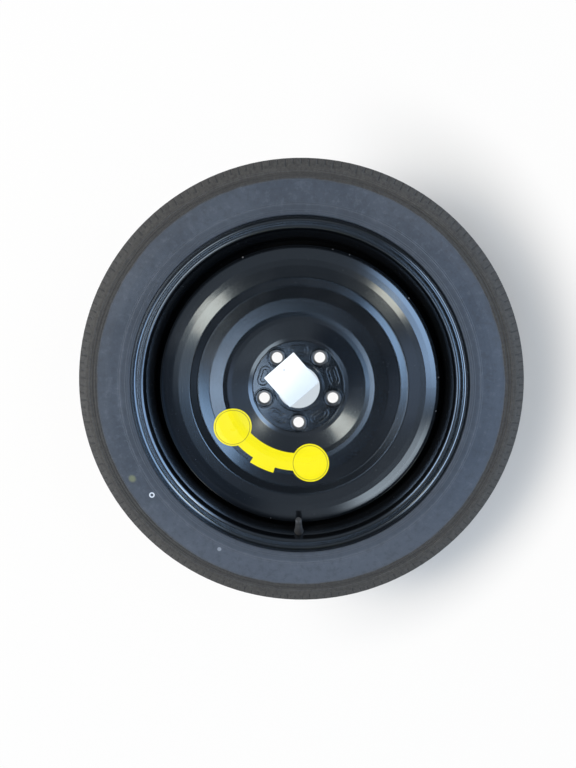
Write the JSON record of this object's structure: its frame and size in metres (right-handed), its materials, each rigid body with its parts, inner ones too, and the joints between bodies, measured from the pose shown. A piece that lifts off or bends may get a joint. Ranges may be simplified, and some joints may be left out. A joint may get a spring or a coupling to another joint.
{
  "type": "narrow temporary spare wheel",
  "caption": "Narrow temporary spare wheel: pressed steel disc in a rolled rim, moulded tyre, snap-in valve with a sprung core, and blank labels.",
  "frame": {"origin": "on the wheel's axis, at the face that bolts against the hub, in the middle of the bolt circle", "axes": "+Z along the wheel's axis, pointing outboard; the valve lies towards -Y; the wheel lies flat with its outboard side up"},
  "size_m": [0.6572, 0.6572, 0.1274],
  "materials": {
    "tyre_rubber": "moulded, dusty at the shoulder",
    "black_paint": "semi-gloss dip coat",
    "weld_metal": "painted over",
    "yellow_film": "gloss film",
    "white_paper": "plain paper",
    "valve_rubber": "smooth",
    "valve_brass": "turned",
    "seal_rubber": "smooth",
    "spring_steel": "drawn wire",
    "cap_plastic": "moulded"
  },
  "bodies": {
    "wheel": {"tyre": "tyre_rubber", "rim": "black_paint", "disc": "black_paint", "weld_beads": "weld_metal", "yellow_sticker": "yellow_film", "paper_label": "white_paper", "valve_body": "valve_rubber", "valve_stem": "valve_brass", "core_housing": "valve_brass", "core_gasket": "seal_rubber", "core_spring": "spring_steel"},
    "cap": {"valve_cap": "cap_plastic"},
    "pin": {"core_pin": "valve_brass", "core_seal": "seal_rubber"}
  },
  "joints": [
    {"name": "cap_off", "type": "slide", "parent": "wheel", "child": "cap", "axis": [0, 0.7391, 0.6737], "range_m": [0, 0.014]},
    {"name": "pin_press", "type": "slide", "parent": "wheel", "child": "pin", "axis": [0, -0.7391, -0.6737], "range_m": [0, 0.0012], "stiffness_N_per_m": 1500, "springref_m": -0.001, "deforming": ["core_spring"]}
  ]
}
